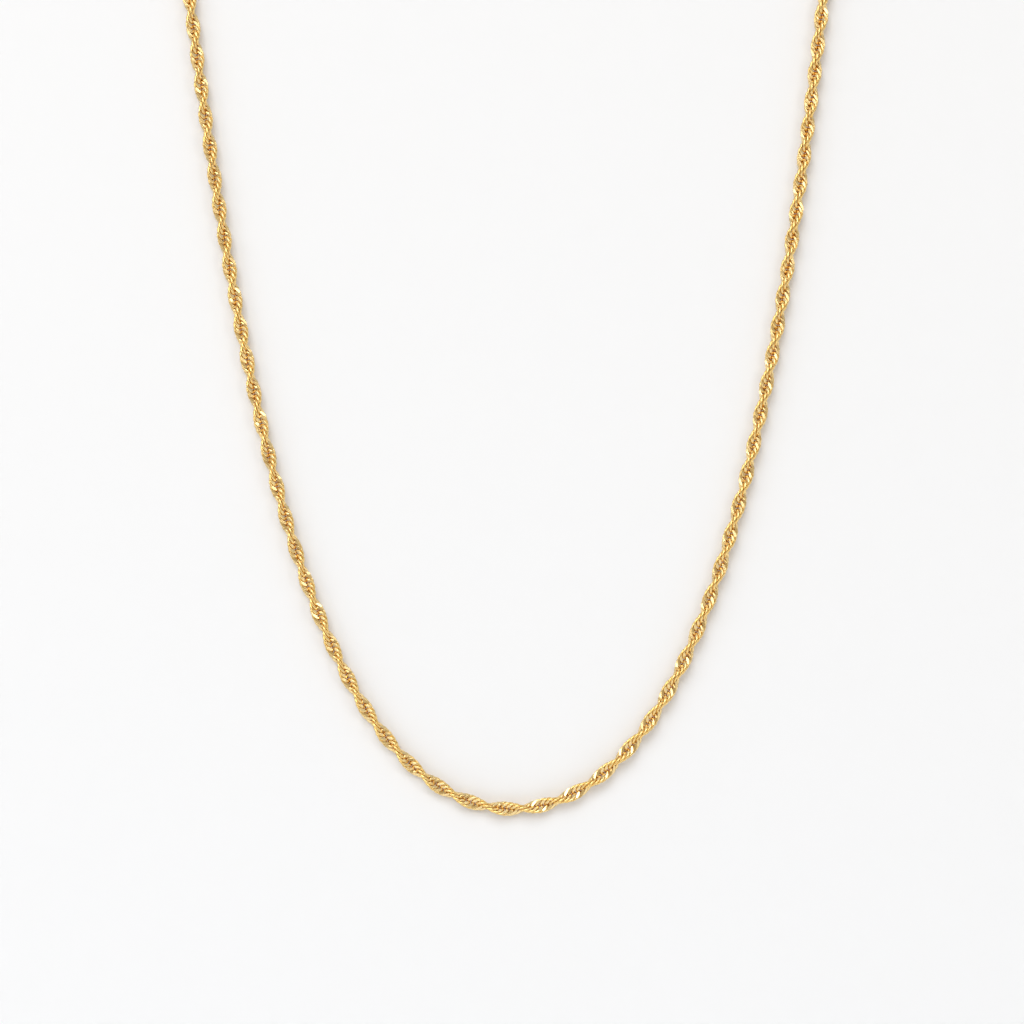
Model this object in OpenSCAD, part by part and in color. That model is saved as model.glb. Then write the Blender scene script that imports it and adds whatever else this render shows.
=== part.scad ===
// Singapore chain necklace, hanging from a support as a closed loop.
// A twisted curb chain runs all the way round, and its two ends meet at the top,
// where two end rings and a plain ring clasp close it.
// Millimetres. +X to the wearer's left, +Y away from the viewer, +Z up.
// The origin is where the loop rests on what holds it, under the middle of the clasp.

/* [Necklace] */
// Length right round the closed necklace, with the clasp and the end rings
necklace_length = 450; // [400:5:600]
// Width of the chain across its twisted links
chain_width = 2; // [1.7:0.1:2.6]

/* [Hanging curve] */
// Spread of the hanging curve: the length that scales its width
curve_spread = 15.1; // [13:0.1:18]
// Rise of the hanging curve: the length that scales its height
curve_rise = 12.8; // [10:0.1:16]

/* [Chain ends] */
// Thickness of the wire of the chain's links
link_wire = 0.35; // [0.3:0.05:0.45]
// How far the sides of the end link lie inside the chain's outline
end_link_inset = 0.05; // [0.03:0.01:0.1]

/* [End rings] */
// Thickness of the wire of the end rings
ring_wire = 0.5; // [0.4:0.05:0.6]
// Inner diameter of the end rings
ring_bore = 2.3; // [2.1:0.1:3]

/* [Clasp] */
// Thickness of the clasp's ring
clasp_wire = 1.1; // [0.9:0.1:1.3]
// Inner diameter of the clasp's ring
clasp_bore = 3.8; // [3:0.1:6]
// Thickness of the wire of the clasp's eye
eye_wire = 0.6; // [0.5:0.05:0.7]
// Inner diameter of the clasp's eye
eye_bore = 1.1; // [1:0.1:2]
// How deep the eye is sunk into the clasp's ring where it is soldered on
solder_depth = 0.3; // [0.2:0.05:0.4]

/* [Fits] */
// Play between two pieces that are linked and pull on each other
link_play = 0.1; // [0.1:0.01:0.15]

/* [Hidden] */

gold = [0.86, 0.68, 0.34];
gold_light = [0.92, 0.76, 0.45];
$fn = 48;

// The tube that stands for the twisted links
tube_sides = 10;
tube_pitch = 2.5 * chain_width;
most_tube_steps = 78;

// Mean radii of the four kinds of ring
end_link_r = (chain_width - link_wire) / 2 - end_link_inset;
ring_r = (ring_bore + ring_wire) / 2;
eye_r = (eye_bore + eye_wire) / 2;
clasp_r = (clasp_bore + clasp_wire) / 2;

// Distance between the middles of two linked wires under pull
function linked(wire_a, wire_b) = (wire_a + wire_b) / 2 + link_play;

// The closure along X, from the face of the left chain end at 0
ring_face = ring_r + ring_wire / 2 + link_play;
left_ring_at = ring_face;
end_link_at = left_ring_at - ring_r + linked(ring_wire, link_wire) - end_link_r;
eye_at = left_ring_at + ring_r - linked(ring_wire, eye_wire) + eye_r;
clasp_at = eye_at + eye_r + (eye_wire + clasp_wire) / 2 - solder_depth + clasp_r;
right_ring_at = clasp_at + clasp_r - linked(clasp_wire, ring_wire) + ring_r;
closure_half = (right_ring_at + ring_face) / 2;
// Height of the closure above the support, which the end rings rest on
closure_z = ring_r + ring_wire / 2;

function cosh(x) = (exp(x) + exp(-x)) / 2;
function sinh(x) = (exp(x) - exp(-x)) / 2;

// The hanging curve at half width u: its height, its slope and its length per unit of u
function curve_z(u) = curve_rise * (cosh(u / curve_spread) - 1);
function curve_slope(u) = curve_rise / curve_spread * sinh(u / curve_spread);
function curve_stretch(u) = sqrt(1 + pow(curve_slope(u), 2));

// Pairs of length along the curve and half width, from the bottom out to half width u
curve_parts = 400;
function curve_table(u) =
    [for (i = 0, s = 0;
          i <= curve_parts;
          s = s + u / curve_parts * curve_stretch((i + 0.5) * u / curve_parts), i = i + 1)
        [s, i * u / curve_parts]];
function curve_length(u) = curve_table(u)[curve_parts][0];

// The arch that carries each strand from half width u round to the closure
function arch_lean(u) = atan(1 / curve_slope(u));
function arch_r(u) = (u - closure_half) / cos(arch_lean(u));
function arch_length(u) = arch_r(u) * (90 + arch_lean(u)) * PI / 180;
function half_length(u) = curve_length(u) + arch_length(u) + closure_half;

// Half width where curve and arch meet, halved in until the whole loop has its length
function join_between(low, high, tries) =
    tries == 0 ? (low + high) / 2
    : half_length((low + high) / 2) < necklace_length / 2
        ? join_between((low + high) / 2, high, tries - 1)
        : join_between(low, (low + high) / 2, tries - 1);
join_u = join_between(2 * curve_spread, 4.5 * curve_spread, 40);
join_table = curve_table(join_u);
join_s = join_table[curve_parts][0];
join_r = arch_r(join_u);
join_lean = arch_lean(join_u);
strand_length = join_s + arch_length(join_u);
// Height of the closure above the lowest point of the curve
loop_rise = curve_z(join_u) + join_r * (1 + sin(join_lean));

// Place and heading of the chain's centreline at length s from the bottom, s in either direction
function on_curve(s) =
    let (u = lookup(s, join_table))
    [u, curve_z(u), atan(curve_slope(u))];
function on_arch(s) =
    let (turn = (s - join_s) / join_r * 180 / PI - join_lean)
    [closure_half + join_r * cos(turn),
     curve_z(join_u) + join_r * (sin(join_lean) + sin(turn)),
     90 + turn];
function on_strand(s) = s < join_s ? on_curve(s) : on_arch(s);
function route(s) =
    let (side = s < 0 ? -1 : 1,
         p = on_strand(abs(s)))
    [side * p[0], p[1] - loop_rise + closure_z, side * p[2]];

// One ring of the tube, square to the centreline at length s
function tube_ring(s) =
    let (p = route(s))
    [for (i = [0:tube_sides - 1])
        let (a = i * 360 / tube_sides,
             out = chain_width / 2 * cos(a))
        [p[0] - out * sin(p[2]), chain_width / 2 * sin(a), p[1] + out * cos(p[2])]];

// The run of twisted links, as a tube along the whole route
module tube() {
    steps = 2 * min(most_tube_steps / 2, ceil(strand_length / tube_pitch));
    rings = [for (k = [0:steps]) tube_ring(strand_length * (2 * k / steps - 1))];
    points = [for (ring = rings) each ring];
    walls = [for (k = [0:steps - 1], i = [0:tube_sides - 1])
        let (a = k * tube_sides, b = a + tube_sides, j = (i + 1) % tube_sides)
        each [[a + i, b + i, b + j], [a + i, b + j, a + j]]];
    first = [for (i = [0:tube_sides - 1]) i];
    last = [for (i = [tube_sides - 1:-1:0]) steps * tube_sides + i];
    polyhedron(points, [first, each walls, last]);
}

// A closed ring of round wire, flat in X and Y
module wire_ring(r, wire) {
    rotate_extrude() translate([r, 0]) circle(d = wire);
}

// Puts a piece of the closure at x from the left chain end
module on_closure(x) {
    translate([x - closure_half, 0, closure_z]) children();
}

module chain() {
    color(gold) union() {
        tube();
        for (x = [end_link_at, 2 * closure_half - end_link_at])
            on_closure(x) wire_ring(end_link_r, link_wire);
    }
}

module end_ring(x) {
    color(gold_light) on_closure(x) rotate([90, 0, 0]) wire_ring(ring_r, ring_wire);
}

module end_ring_left() {
    end_ring(left_ring_at);
}

module end_ring_right() {
    end_ring(right_ring_at);
}

module clasp() {
    color(gold_light) union() {
        on_closure(clasp_at) wire_ring(clasp_r, clasp_wire);
        on_closure(eye_at) wire_ring(eye_r, eye_wire);
    }
}

chain();
end_ring_left();
end_ring_right();
clasp();
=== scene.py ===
import math
import bpy
import numpy as np
from mathutils import Matrix, Vector


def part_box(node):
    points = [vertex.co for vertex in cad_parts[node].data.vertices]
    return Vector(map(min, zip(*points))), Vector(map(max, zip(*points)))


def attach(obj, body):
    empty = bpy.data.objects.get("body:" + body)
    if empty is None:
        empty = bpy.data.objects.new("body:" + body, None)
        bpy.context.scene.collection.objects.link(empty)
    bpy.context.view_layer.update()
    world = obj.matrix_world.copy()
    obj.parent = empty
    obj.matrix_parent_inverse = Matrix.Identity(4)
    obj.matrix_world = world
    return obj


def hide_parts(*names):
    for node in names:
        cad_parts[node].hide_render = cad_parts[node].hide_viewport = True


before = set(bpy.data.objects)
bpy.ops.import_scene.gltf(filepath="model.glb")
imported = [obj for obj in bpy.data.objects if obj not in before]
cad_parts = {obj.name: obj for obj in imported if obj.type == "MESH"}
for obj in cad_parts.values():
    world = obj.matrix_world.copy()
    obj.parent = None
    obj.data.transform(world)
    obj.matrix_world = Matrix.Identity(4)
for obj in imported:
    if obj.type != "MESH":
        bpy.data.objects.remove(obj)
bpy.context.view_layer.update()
print("frame loaded, nodes:", sorted(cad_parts))

mm = 0.001  # sizes below are in millimetres, and Blender's are in metres

# The loop as it hangs: a hanging curve at the foot, an arch on each side, and the closure at the top
loop = {
    "length": 450.0,      # right round, closure included
    "spread": 15.1,       # sideways scale of the hanging curve
    "rise": 12.8,         # upward scale of the hanging curve
    "play": 0.1,          # between linked pieces under pull
    "curveSteps": 4000,   # that the curve's length is summed over
    "joinLow": 2.0,       # curve and arch meet between these multiples of the spread
    "joinHigh": 4.5,
    "halvings": 50,       # of that range, until the meeting place is found
}
ringLow, ringHigh = (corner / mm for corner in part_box("end_ring_left"))
# each chain end stands this far from the closure's middle, a play's width outside its end ring
closureHalf = loop["play"] - ringLow.x
closureZ = (ringLow.z + ringHigh.z) / 2


def curveSlope(u):
    return loop["rise"] / loop["spread"] * np.sinh(u / loop["spread"])


def curveLengths(joinU):
    # running length of the curve from its foot, summed over short steps of half width
    u = np.linspace(0, joinU, loop["curveSteps"] + 1)
    steps = np.sqrt(1 + curveSlope((u[1:] + u[:-1]) / 2) ** 2) * np.diff(u)
    return u, np.concatenate([[0], np.cumsum(steps)])


def archFrom(joinU):
    # the arch leaves the curve without a kink and comes level at the closure
    lean = math.atan(1 / curveSlope(joinU))
    return lean, (joinU - closureHalf) / math.cos(lean)


def halfLoop(joinU):
    lean, radius = archFrom(joinU)
    return curveLengths(joinU)[1][-1] + radius * (math.pi / 2 + lean) + closureHalf


def joinHalfWidth():
    # half width where curve and arch meet, halved in until the loop has its length
    low, high = loop["joinLow"] * loop["spread"], loop["joinHigh"] * loop["spread"]
    for _ in range(loop["halvings"]):
        middle = (low + high) / 2
        low, high = (middle, high) if halfLoop(middle) < loop["length"] / 2 else (low, middle)
    return low


joinU = joinHalfWidth()
curveU, curveS = curveLengths(joinU)
joinS = curveS[-1]
archLean, archRadius = archFrom(joinU)
joinZ = loop["rise"] * (math.cosh(joinU / loop["spread"]) - 1)
strandLength = joinS + archRadius * (math.pi / 2 + archLean)
footZ = closureZ - joinZ - archRadius * (1 + math.sin(archLean))


def routeAt(s):
    # place and heading of the centreline at length s from the foot, right strand positive
    out = np.abs(s)
    side = np.where(s < 0, -1, 1)
    u = np.interp(out, curveS, curveU)
    turn = (out - joinS) / archRadius - archLean
    onCurve = out < joinS
    x = np.where(onCurve, u, closureHalf + archRadius * np.cos(turn))
    z = np.where(onCurve, loop["rise"] * (np.cosh(u / loop["spread"]) - 1),
                 joinZ + archRadius * (math.sin(archLean) + np.sin(turn)))
    heading = np.where(onCurve, np.arctan(curveSlope(u)), math.pi / 2 + turn)
    return side * x, z + footZ, side * heading


print("route: strand %.1f mm, foot at z %.1f mm" % (strandLength, footZ))


# Camera: square on, as the photograph is
view = {
    "pixelsPerMm": 7.0,
    "frameSide": 1024,
    "footPixel": (513.5, 808.9),   # the lowest point of the chain's centreline
    "distance": 600.0,
    "rollDegrees": 0.48,
    "sensor": 36.0,
    "nearest": 10.0,               # it sees from this distance
    "furthest": 20000.0,           # to this one
}


def makeCamera():
    camData = bpy.data.cameras.new("photoCamera")
    cam = bpy.data.objects.new("photoCamera", camData)
    bpy.context.collection.objects.link(cam)
    frameWidth = view["frameSide"] / view["pixelsPerMm"]
    camData.sensor_width = view["sensor"]
    camData.lens = view["sensor"] * view["distance"] / frameWidth
    camData.clip_start, camData.clip_end = view["nearest"] * mm, view["furthest"] * mm
    roll = math.radians(view["rollDegrees"])
    right = (view["footPixel"][0] - view["frameSide"] / 2) / view["pixelsPerMm"]
    down = (view["footPixel"][1] - view["frameSide"] / 2) / view["pixelsPerMm"]
    x = down * math.sin(roll) - right * math.cos(roll)
    z = footZ + down * math.cos(roll) + right * math.sin(roll)
    cam.location = (x * mm, -view["distance"] * mm, z * mm)
    cam.rotation_euler = (math.pi / 2, roll, 0)
    bpy.context.scene.camera = cam


makeCamera()
print("camera set")


# Shader pieces
def addNode(tree, kind, place, **values):
    node = tree.nodes.new(kind)
    node.location = place
    for name, value in values.items():
        setattr(node, name, value)
    return node


# What the polishing marks have in common on all the gold
polishing = {
    "patchDetail": 3.0,
    "smoothAt": 0.3,        # the patches' noise from which they go from smooth to dull
    "dullAt": 0.7,
    "scratchDetail": 4.0,
    "scratchDistortion": 1.5,
    "scratchDepth": 0.02,
}


def buildPolishGroup():
    # fine polishing marks: a roughness and a normal that wander over the metal, and a patchy mask
    group = bpy.data.node_groups.new("polishMarks", "ShaderNodeTree")
    face = group.interface
    face.new_socket("Vector", in_out="INPUT", socket_type="NodeSocketVector")
    for name in ("Patch Scale", "Scratch Scale", "Smooth", "Dull", "Depth"):
        face.new_socket(name, in_out="INPUT", socket_type="NodeSocketFloat")
    for name, kind in (("Roughness", "NodeSocketFloat"), ("Patches", "NodeSocketFloat"),
                       ("Normal", "NodeSocketVector")):
        face.new_socket(name, in_out="OUTPUT", socket_type=kind)
    given = addNode(group, "NodeGroupInput", (-800, 0))
    result = addNode(group, "NodeGroupOutput", (500, 0))
    patches = addNode(group, "ShaderNodeTexNoise", (-520, 160))
    patches.inputs["Detail"].default_value = polishing["patchDetail"]
    scratches = addNode(group, "ShaderNodeTexNoise", (-520, -160))
    scratches.inputs["Detail"].default_value = polishing["scratchDetail"]
    scratches.inputs["Distortion"].default_value = polishing["scratchDistortion"]
    spread = addNode(group, "ShaderNodeMapRange", (-200, 160))
    spread.inputs["From Min"].default_value = polishing["smoothAt"]
    spread.inputs["From Max"].default_value = polishing["dullAt"]
    bump = addNode(group, "ShaderNodeBump", (-200, -160))
    bump.inputs["Distance"].default_value = polishing["scratchDepth"] * mm
    link = group.links.new
    for noise, scale in ((patches, "Patch Scale"), (scratches, "Scratch Scale")):
        link(given.outputs["Vector"], noise.inputs["Vector"])
        link(given.outputs[scale], noise.inputs["Scale"])
    link(patches.outputs["Fac"], spread.inputs["Value"])
    link(given.outputs["Smooth"], spread.inputs["To Min"])
    link(given.outputs["Dull"], spread.inputs["To Max"])
    link(scratches.outputs["Fac"], bump.inputs["Height"])
    link(given.outputs["Depth"], bump.inputs["Strength"])
    link(spread.outputs["Result"], result.inputs["Roughness"])
    link(patches.outputs["Fac"], result.inputs["Patches"])
    link(bump.outputs["Normal"], result.inputs["Normal"])
    return group


polishGroup = buildPolishGroup()


def startGold(name, marks):
    # a metal with the polishing marks on its roughness and normal; its colour is left to the caller
    material = bpy.data.materials.new(name)
    material.use_nodes = True
    tree = material.node_tree
    shader = tree.nodes["Principled BSDF"]
    shader.inputs["Metallic"].default_value = 1.0
    coords = addNode(tree, "ShaderNodeTexCoord", (-1300, 0))
    polish = addNode(tree, "ShaderNodeGroup", (-1000, -100), node_tree=polishGroup)
    for socket, value in marks.items():
        polish.inputs[socket].default_value = value
    tree.links.new(coords.outputs["Object"], polish.inputs["Vector"])
    tree.links.new(polish.outputs["Normal"], shader.inputs["Normal"])
    return material, tree, shader, polish


# Sockets of a Mix node, which go by number because their names repeat
mixSockets = {
    "RGBA": {"low": 6, "high": 7, "result": 2},
    "FLOAT": {"low": 2, "high": 3, "result": 0},
}


def blend(tree, place, factor, low, high, kind="RGBA"):
    # low and high are each a colour, a number or another node's output
    mix = addNode(tree, "ShaderNodeMix", place, data_type=kind)
    sockets = mixSockets[kind]
    for end, value in (("low", low), ("high", high)):
        socket = mix.inputs[sockets[end]]
        if isinstance(value, bpy.types.NodeSocket):
            tree.links.new(value, socket)
        else:
            socket.default_value = (*value, 1) if kind == "RGBA" else value
    tree.links.new(factor, mix.inputs["Factor"])
    return mix.outputs[sockets["result"]]


# Gold of the links: flat cuts in a paler gold as a painted highlight, drawn wire between them, and a
# darker, warmer gold as painted shade in the recesses towards the chain's middle
linkGold = {
    "wire": (0.97, 0.65, 0.20),
    "paleWire": (0.98, 0.73, 0.31),
    # painted shade: a darker, warmer gold for the recesses near the chain's middle
    "recessShade": (0.88, 0.47, 0.08),
    # painted highlight: a paler gold on the flat cuts, so that their glints come out pale
    "cutAndHighlight": (0.99, 0.75, 0.36),
    "cutRoughness": 0.24,
    "recessShadeAtMiddle": 1.25,   # share of the painted shade colour at the chain's middle, kept to 1 at most
    "recessShadeFall": 1.6,        # how much of it is lost per mm out from there
    "marks": {"Patch Scale": 900.0, "Scratch Scale": 4600.0,
              "Smooth": 0.18, "Dull": 0.30, "Depth": 0.35},
}


def makeLinkGold():
    material, tree, shader, polish = startGold("linkGold", linkGold["marks"])
    recessShade = addNode(tree, "ShaderNodeAttribute", (-1000, 300), attribute_name="recessShade")
    # mask of the flat cuts, which sets their roughness and their painted highlight colour
    cutAndHighlight = addNode(tree, "ShaderNodeAttribute", (-1000, -400), attribute_name="flatCut")
    patches = polish.outputs["Patches"]
    wire = blend(tree, (-700, 100), patches, linkGold["wire"], linkGold["paleWire"])
    # painted shade: darker, warmer gold where the links lie deep towards the chain's middle
    shaded = blend(tree, (-450, 150), recessShade.outputs["Fac"], wire, linkGold["recessShade"])
    # painted highlight: the flat cuts take the paler gold
    colour = blend(tree, (-200, 150), cutAndHighlight.outputs["Fac"], shaded, linkGold["cutAndHighlight"])
    roughness = blend(tree, (-450, -250), cutAndHighlight.outputs["Fac"], polish.outputs["Roughness"],
                      linkGold["cutRoughness"], kind="FLOAT")
    tree.links.new(colour, shader.inputs["Base Color"])
    tree.links.new(roughness, shader.inputs["Roughness"])
    return material


# Gold of the end rings and the clasp: plain polished wire
plainGold = {
    "colour": (0.93, 0.68, 0.30),
    "pale": (0.95, 0.73, 0.36),
    "marks": {"Patch Scale": 500.0, "Scratch Scale": 4000.0,
              "Smooth": 0.10, "Dull": 0.20, "Depth": 0.06},
}


def makePlainGold():
    material, tree, shader, polish = startGold("plainGold", plainGold["marks"])
    patches = polish.outputs["Patches"]
    colour = blend(tree, (-500, 100), patches, plainGold["colour"], plainGold["pale"])
    tree.links.new(colour, shader.inputs["Base Color"])
    tree.links.new(polish.outputs["Roughness"], shader.inputs["Roughness"])
    return material


linkMetal = makeLinkGold()
plainMetal = makePlainGold()
for nodeName in ("end_ring_left", "end_ring_right", "clasp"):
    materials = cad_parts[nodeName].data.materials
    materials.clear()
    materials.append(plainMetal)
print("gold finishes made")


# Twist of the chain in half turns; a whole number is a spot where the chain stands edge on
twist = {
    "phase": 0.697,         # at the foot
    "rate": 0.1953,         # half turns per mm at the foot
    "lean": 4.4e-5,         # per mm squared, so the right strand is twisted a little tighter
    "tightening": 2.22e-6,  # per mm cubed, up both strands
    "easing": 4.85e-11,     # per mm to the fifth, taken off again higher up
    "evenFrom": 131.0,      # further from the foot than this the rate stays as it is
}

# One curb link: a long oval of wire, bent so that its two ends lie across each other
curb = {
    "halfLength": 1.111,
    "halfWidth": 0.876,
    "nip": 0.267,           # how much narrower than an oval it is towards its ends
    "wire": 0.331,
    "shoulder": 0.441,      # how much thicker the wire is where a side turns into an end
    "endTaper": 0.222,      # how much thinner it is at the very end
    "layDegrees": -60.2,    # turn of each end out of the middle's plane
    "pitch": 0.622,
    "stations": 16,         # round the oval
    "sides": 8,             # round the wire
}

# Flat cuts: the front and the back of every link are cut flat
cuts = {
    "distance": 0.18,       # from the link's own middle plane
    "lean": 3.0,            # degrees, how far at most a cut leans either way
    "seed": 7,
}

# Round link at each chain end, through which the end ring passes
endLink = {
    "radius": 0.775,
    "wire": 0.33,
    "fromEnd": 0.1,         # its middle lies this far past the last of the tube
    "clearance": 0.032,     # between its inner end and the last curb link's end
    "stations": 24,
    "sides": 8,
}


def shownTurns(s):
    tighter = twist["tightening"] * s**3 - twist["easing"] * s**5
    return twist["phase"] + twist["rate"] * s + twist["lean"] * s**2 + tighter


def shownRate(s):
    tighter = 3 * twist["tightening"] * s**2 - 5 * twist["easing"] * s**4
    return twist["rate"] + 2 * twist["lean"] * s + tighter


# The last curb link reaches through the round link, and its end wire lies close to the inner end
endWire = curb["wire"] * (1 - curb["endTaper"])
innerEndAt = strandLength + endLink["fromEnd"] - endLink["radius"]
lastEndAt = innerEndAt + (endLink["wire"] + endWire) / 2 + endLink["clearance"]
lastLinkAt = lastEndAt - curb["halfLength"]


def hiddenRate(side):
    # rate beyond the even stretch, so that the last link's end stands square to the round link:
    # half way between two edge-on spots, with the link's own lay counted in
    start, end = side * twist["evenFrom"], side * lastEndAt
    ends = 0.5 + side * curb["layDegrees"] / 180
    free = shownTurns(start) + shownRate(start) * (end - start)
    return (round(free + ends) - ends - shownTurns(start)) / (end - start)


hiddenRates = {side: hiddenRate(side) for side in (-1, 1)}
print("half turns per mm in the hidden stretches:", {k: round(v, 4) for k, v in hiddenRates.items()})


def turnsAt(s):
    near = np.clip(s, -twist["evenFrom"], twist["evenFrom"])
    rate = np.where(s < 0, hiddenRates[-1], hiddenRates[1])
    return shownTurns(near) + rate * (s - near)


def linkAngle(s):
    # a link's width lies in the loop's plane half way between two edge-on spots
    return math.pi * (turnsAt(s) + 0.5)


def wireGrid(centres, outward, radii, sides):
    # round wire about a closed line: centre + radius * (cos b * outward + sin b * across)
    along = np.roll(centres, -1, 0) - np.roll(centres, 1, 0)
    along /= np.linalg.norm(along, axis=1, keepdims=True)
    outward = outward - along * (outward * along).sum(1, keepdims=True)
    outward /= np.linalg.norm(outward, axis=1, keepdims=True)
    across = np.cross(along, outward)
    b = np.linspace(0, 2 * math.pi, sides, endpoint=False)[None, :, None]
    around = np.cos(b) * outward[:, None] + np.sin(b) * across[:, None]
    return centres[:, None] + radii[:, None, None] * around


def gridFaces(count, stations, sides, first=0):
    # four-cornered faces of closed tubes, corners in the order that points the faces outwards
    a = np.arange(stations)[:, None]
    b = np.arange(sides)[None, :]
    nextA, nextB = (a + 1) % stations, (b + 1) % sides
    one = np.stack([a * sides + b, a * sides + nextB, nextA * sides + nextB, nextA * sides + b], -1)
    offsets = first + np.arange(count)[:, None, None] * stations * sides
    return (one.reshape(1, -1, 4) + offsets).reshape(-1, 4)


def curbGrid():
    # x = halfLength * cos a, width = halfWidth * sin a * (1 - nip * cos² a), and the width is
    # turned about x by lay * cos a; the wire's radius is
    # wire / 2 * (1 + shoulder * sin² 2a - endTaper * cos² a)
    a = np.linspace(0, 2 * math.pi, curb["stations"], endpoint=False)
    cosA, sinA = np.cos(a), np.sin(a)
    turn = math.radians(curb["layDegrees"]) * cosA
    width = curb["halfWidth"] * sinA * (1 - curb["nip"] * cosA**2)
    centres = np.stack([curb["halfLength"] * cosA, width * np.cos(turn), width * np.sin(turn)], -1)
    bulge = sinA / curb["halfWidth"]
    outward = np.stack([cosA / curb["halfLength"], bulge * np.cos(turn), bulge * np.sin(turn)], -1)
    radii = curb["wire"] / 2 * (1 + curb["shoulder"] * np.sin(2 * a) ** 2
                                - curb["endTaper"] * cosA**2)
    return wireGrid(centres, outward, radii, curb["sides"])


def twistedLinks():
    # every link set along s, then turned about the chain's middle by its own place's twist
    count = round(2 * lastLinkAt / curb["pitch"]) + 1
    places = np.linspace(-lastLinkAt, lastLinkAt, count)
    # one lean along and one across for the front of every link, and for its back
    random = np.random.default_rng(cuts["seed"])
    leans = random.uniform(-cuts["lean"], cuts["lean"], (2, 2, count, 1))
    frontLean, backLean = np.tan(np.radians(leans))
    one = curbGrid().reshape(-1, 3)
    s = places[:, None] + one[None, :, 0]
    middle = linkAngle(places)
    angle = linkAngle(s) - middle[:, None]
    y = one[:, 1] * np.cos(angle) - one[:, 2] * np.sin(angle)
    z = one[:, 1] * np.sin(angle) + one[:, 2] * np.cos(angle)
    # a cut is a plane: z = distance + lean along * x + lean across * y
    front = cuts["distance"] + frontLean[0] * one[:, 0] + frontLean[1] * y
    back = -cuts["distance"] + backLean[0] * one[:, 0] + backLean[1] * y
    # what stands past a link's cutting planes is laid back onto them:
    # 1 is the front, 2 the back, 0 neither
    plane = np.where(z > front, 1, np.where(z < back, 2, 0))
    z = np.clip(z, back, front)
    cosine, sine = np.cos(middle)[:, None], np.sin(middle)[:, None]
    return count, s, y * cosine - z * sine, y * sine + z * cosine, plane


def layOnRoute(s, y, z):
    # s runs along the centreline, y towards the inside of the loop, z towards the viewer
    x, height, heading = routeAt(s)
    return np.stack([x - y * np.sin(heading), -z, height + y * np.cos(heading)], -1)


def endLinkGrid(side):
    # a ring flat in x and y, about a point past the chain's end
    a = np.linspace(0, 2 * math.pi, endLink["stations"], endpoint=False)
    outward = np.stack([np.cos(a), np.sin(a), np.zeros_like(a)], -1)
    middle = np.array([side * (closureHalf - endLink["fromEnd"]), 0, closureZ])
    radii = np.full(len(a), endLink["wire"] / 2)
    centres = middle + endLink["radius"] * outward
    return wireGrid(centres, outward, radii, endLink["sides"]).reshape(-1, 3)


def makeChainLinks():
    count, s, y, z, plane = twistedLinks()
    # painted shade mask: 1 near the chain's middle, falling off outwards
    recessShade = linkGold["recessShadeAtMiddle"] - linkGold["recessShadeFall"] * np.hypot(y, z)
    recessShade = np.clip(recessShade, 0, 1)
    points = layOnRoute(s, y, z).reshape(-1, 3)
    faces = gridFaces(count, curb["stations"], curb["sides"])
    planes = plane.reshape(-1)
    flat = (planes[faces] == planes[faces][:, :1]).all(1) & (planes[faces][:, 0] > 0)
    rounds = [endLinkGrid(side) for side in (-1, 1)]
    endFaces = gridFaces(2, endLink["stations"], endLink["sides"], len(points))
    extra = sum(len(r) for r in rounds)
    points = np.vstack([points, *rounds])
    faces = np.vstack([faces, endFaces])
    mesh = bpy.data.meshes.new("chainLinks")
    mesh.from_pydata((points * mm).tolist(), [], faces.tolist())
    smooth = np.concatenate([~flat, np.ones(len(endFaces), bool)])
    mesh.polygons.foreach_set("use_smooth", smooth)
    # stored on the points: the painted shade mask, and which points lie on a flat cut
    for name, values in (("recessShade", recessShade.reshape(-1)), ("flatCut", (planes > 0).astype(float))):
        attribute = mesh.attributes.new(name, "FLOAT", "POINT")
        attribute.data.foreach_set("value", np.concatenate([values, np.zeros(extra)]))
    mesh.materials.append(linkMetal)
    mesh.update()
    links = bpy.data.objects.new("chainLinks", mesh)
    bpy.context.collection.objects.link(links)
    print("chain links:", count, "faces:", len(faces), "flat:", int(flat.sum()))
    return links


chainLinks = makeChainLinks()
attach(chainLinks, "root")
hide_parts("chain")


# Backdrop: a pale sheet close behind the chain, which leans back behind the clasp and sweeps
# into a pale floor
backdrop = {
    "gap": 1.2,             # behind the chain's middle
    "top": 420.0,
    "leanFrom": -52.0,      # height above which it leans back
    "leanOver": 60.0,       # height in which t grows by 1
    "leanBack": 9.0,
    "leanRows": 60,
    "sweepFrom": -300.0,
    "sweepRadius": 60.0,
    "sweepRows": 24,
    "front": -450.0,
    "halfWidth": 900.0,
    "colour": (0.924, 0.929, 0.939),
    "roughness": 0.9,
    "specular": 0.1,
}


def backdropProfile():
    # y and z down the sheet: the lean is gap + leanBack * t² / (1 + t), the sweep a quarter circle
    top = np.linspace(backdrop["top"], backdrop["leanFrom"], backdrop["leanRows"])
    t = np.maximum(top - backdrop["leanFrom"], 0) / backdrop["leanOver"]
    lean = np.stack([backdrop["gap"] + backdrop["leanBack"] * t**2 / (1 + t), top], -1)
    turn = np.linspace(0, math.pi / 2, backdrop["sweepRows"])
    r = backdrop["sweepRadius"]
    sweep = np.stack([backdrop["gap"] - r * (1 - np.cos(turn)),
                      backdrop["sweepFrom"] - r * np.sin(turn)], -1)
    floor = np.array([[backdrop["front"], backdrop["sweepFrom"] - r]])
    return np.vstack([lean, sweep, floor])


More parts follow.
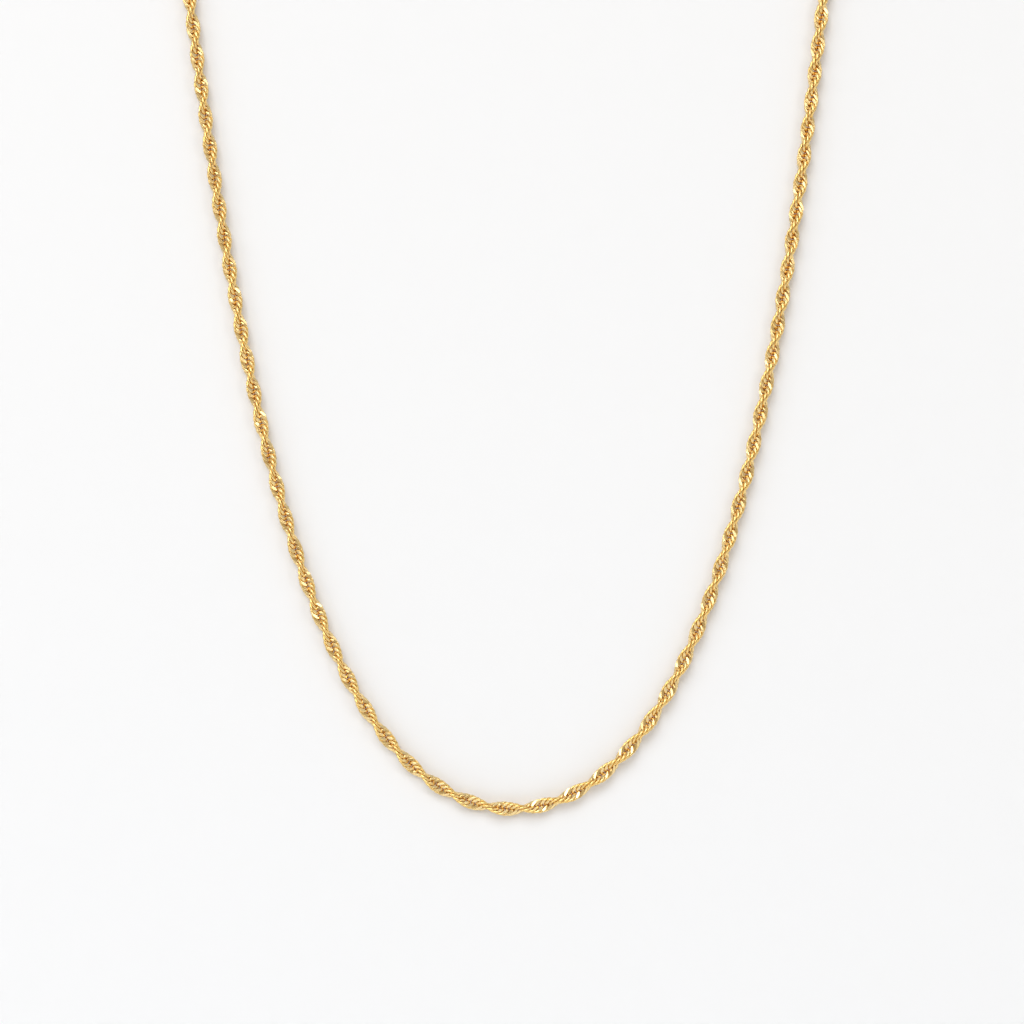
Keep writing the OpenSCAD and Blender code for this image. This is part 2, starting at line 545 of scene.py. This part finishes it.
def makeBackdropPaper():
    # pale matt paper; from behind the camera sees through it, so that the loop shows from all sides
    material = bpy.data.materials.new("backdropPaper")
    material.use_nodes = True
    tree = material.node_tree
    shader = tree.nodes["Principled BSDF"]
    shader.inputs["Base Color"].default_value = (*backdrop["colour"], 1)
    shader.inputs["Roughness"].default_value = backdrop["roughness"]
    shader.inputs["Specular IOR Level"].default_value = backdrop["specular"]
    clear = addNode(tree, "ShaderNodeBsdfTransparent", (0, -300))
    paths = addNode(tree, "ShaderNodeLightPath", (-600, 300))
    side = addNode(tree, "ShaderNodeNewGeometry", (-600, 0))
    both = addNode(tree, "ShaderNodeMath", (-300, 200), operation="MULTIPLY")
    mix = addNode(tree, "ShaderNodeMixShader", (250, 0))
    tree.links.new(paths.outputs["Is Camera Ray"], both.inputs[0])
    tree.links.new(side.outputs["Backfacing"], both.inputs[1])
    tree.links.new(both.outputs[0], mix.inputs["Fac"])
    tree.links.new(shader.outputs[0], mix.inputs[1])
    tree.links.new(clear.outputs[0], mix.inputs[2])
    tree.links.new(mix.outputs[0], tree.nodes["Material Output"].inputs["Surface"])
    return material


def makeBackdrop():
    profile = backdropProfile()
    rows = len(profile)
    edges = (-backdrop["halfWidth"], backdrop["halfWidth"])
    points = np.vstack([np.column_stack([np.full(rows, x), profile]) for x in edges]) * mm
    i = np.arange(rows - 1)
    faces = np.stack([i, i + 1, rows + i + 1, rows + i], -1)
    mesh = bpy.data.meshes.new("backdrop")
    mesh.from_pydata(points.tolist(), [], faces.tolist())
    mesh.polygons.foreach_set("use_smooth", np.ones(len(faces), bool))
    mesh.materials.append(makeBackdropPaper())
    mesh.update()
    sheet = bpy.data.objects.new("backdrop", mesh)
    bpy.context.collection.objects.link(sheet)


makeBackdrop()
print("backdrop made")


# Light: pale surround, dimmer towards the camera, with a soft key from the upper left and
# a small lamp from each side
surround = {
    "bright": (0.95, 0.975, 1.0),
    "dim": (0.71, 0.59, 0.42),
    "brightTowards": (0.0, 0.94, 0.34),
    "dimAt": -0.8,          # share of that direction where the fall begins and ends
    "brightAt": -0.2,
    "strength": 0.58,
}
lamps = {
    "keyUpperLeft": {"place": (-240, -956, 490), "size": (780, 780), "power": 6.8,
                     "colour": (0.895, 0.937, 1.0)},
    "glintLeft": {"place": (-560, -430, 20), "size": (240, 240), "power": 0.45,
                  "colour": (1.0, 1.0, 1.0)},
    "glintRight": {"place": (470, -620, 60), "size": (240, 240), "power": 0.55,
                   "colour": (1.0, 1.0, 1.0)},
}
lampTarget = (0.0, 0.0, -120.0)   # all the lamps face this place in the loop


def makeSurround():
    # the world's light falls off towards the camera, where a room is darker
    world = bpy.data.worlds.new("surround")
    bpy.context.scene.world = world
    world.use_nodes = True
    tree = world.node_tree
    light = tree.nodes["Background"]
    coords = addNode(tree, "ShaderNodeTexCoord", (-900, 0))
    share = addNode(tree, "ShaderNodeVectorMath", (-700, 0), operation="DOT_PRODUCT")
    share.inputs[1].default_value = Vector(surround["brightTowards"]).normalized()
    ramp = addNode(tree, "ShaderNodeMapRange", (-500, 0))
    ramp.inputs["From Min"].default_value = surround["dimAt"]
    ramp.inputs["From Max"].default_value = surround["brightAt"]
    tree.links.new(coords.outputs["Generated"], share.inputs[0])
    tree.links.new(share.outputs["Value"], ramp.inputs["Value"])
    brightness = ramp.outputs["Result"]
    colour = blend(tree, (-250, 0), brightness, surround["dim"], surround["bright"])
    tree.links.new(colour, light.inputs["Color"])
    light.inputs["Strength"].default_value = surround["strength"]


def makeLamp(name, lamp):
    data = bpy.data.lights.new(name, "AREA")
    data.shape = "RECTANGLE"
    data.size, data.size_y = (side * mm for side in lamp["size"])
    data.energy = lamp["power"]
    data.color = lamp["colour"]
    place = np.array(lamp["place"]) * mm
    aim = np.array(lampTarget) * mm - place
    back = -aim / np.linalg.norm(aim)
    across = np.cross([0, 0, 1], back)
    across /= np.linalg.norm(across)
    up = np.cross(back, across)
    lampObject = bpy.data.objects.new(name, data)
    turned = np.column_stack([across, up, back, place])
    lampObject.matrix_world = Matrix([*turned.tolist(), [0, 0, 0, 1]])
    bpy.context.collection.objects.link(lampObject)


makeSurround()
for lampName, lamp in lamps.items():
    makeLamp(lampName, lamp)
bpy.context.scene.view_settings.view_transform = "Standard"
print("lights set")
